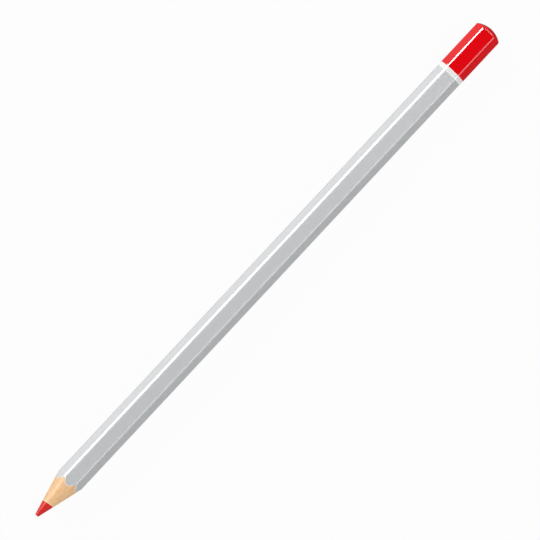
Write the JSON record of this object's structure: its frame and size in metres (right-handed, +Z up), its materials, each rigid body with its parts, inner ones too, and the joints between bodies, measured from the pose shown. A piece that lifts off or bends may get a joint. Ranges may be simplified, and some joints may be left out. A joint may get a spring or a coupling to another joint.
{
  "type": "wood-cased marking pencil",
  "caption": "Hexagonal wood-cased wax marking pencil, sharpened to a blunt point, with silver lacquer, a white ring and a red dipped end, for marking glass, metal, film and china.",
  "frame": {"origin": "on the surface that the pencil lies on, at the middle of its length and width", "axes": "+X along the pencil from the sharpened point to the dipped end, +Z up through the upper facet, +Y across it towards the left glue seam"},
  "size_m": [0.175, 0.0078, 0.0071],
  "materials": {
    "case_wood": "bare pale wood, cut by a sharpener, fine straight grain",
    "red_wax": "red pigmented wax with a soft sheen",
    "core_glue": "pale dried wood glue",
    "seam_glue": "dried wood glue",
    "primer": "matt pale undercoat",
    "silver_lacquer": "fine silver lacquer, satin gloss",
    "white_dip": "glossy white lacquer",
    "red_dip": "glossy red lacquer"
  },
  "bodies": {
    "root": {"upper_case_half": "case_wood", "lower_case_half": "case_wood", "marking_core": "red_wax", "core_glue_sleeve": "core_glue", "seam_glue_left": "seam_glue", "seam_glue_right": "seam_glue", "primer_coat": "primer", "silver_lacquer": "silver_lacquer", "white_dip_coat": "white_dip", "red_dip_coat": "red_dip"}
  },
  "joints": []
}
